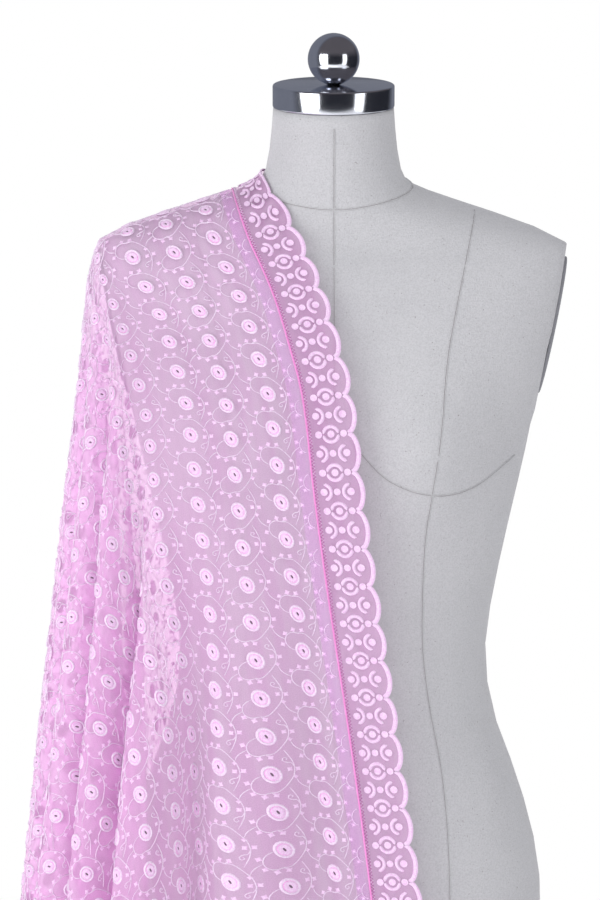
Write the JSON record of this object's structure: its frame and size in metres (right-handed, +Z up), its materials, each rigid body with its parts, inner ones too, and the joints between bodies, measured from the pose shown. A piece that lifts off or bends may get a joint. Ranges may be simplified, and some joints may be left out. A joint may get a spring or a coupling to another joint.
{
  "type": "dupatta stole on a limbless dress form",
  "caption": "Sheer embroidered dupatta stole with a scalloped lace border, laid over one shoulder of a linen-covered dress form on a round-based stand.",
  "frame": {"origin": "centre of the base plate's underside", "axes": "+Z up; the form faces -Y; the stole lies on the -X shoulder"},
  "size_m": [0.4988, 0.4607, 1.6144],
  "materials": {
    "georgette": "sheer pink georgette with satin-thread embroidery",
    "lace": "pink satin-thread scalloped lace on net",
    "linen": "off-white slubbed linen stretched over the form",
    "arm_plate": "matte grey board",
    "chrome": "polished chrome",
    "board": "plain painted board",
    "base": "satin plated steel"
  },
  "bodies": {
    "root": {"stole_body_front": "georgette", "stole_body_back": "georgette", "lace_border_front": "lace", "lace_border_back": "lace", "form_torso": "linen", "arm_plate_right": "arm_plate", "arm_plate_left": "arm_plate", "neck_cap": "chrome", "finial_stem": "chrome", "finial_ball": "chrome", "hip_board": "board", "pole": "chrome", "pole_collar": "chrome", "base_plate": "base"}
  },
  "joints": []
}
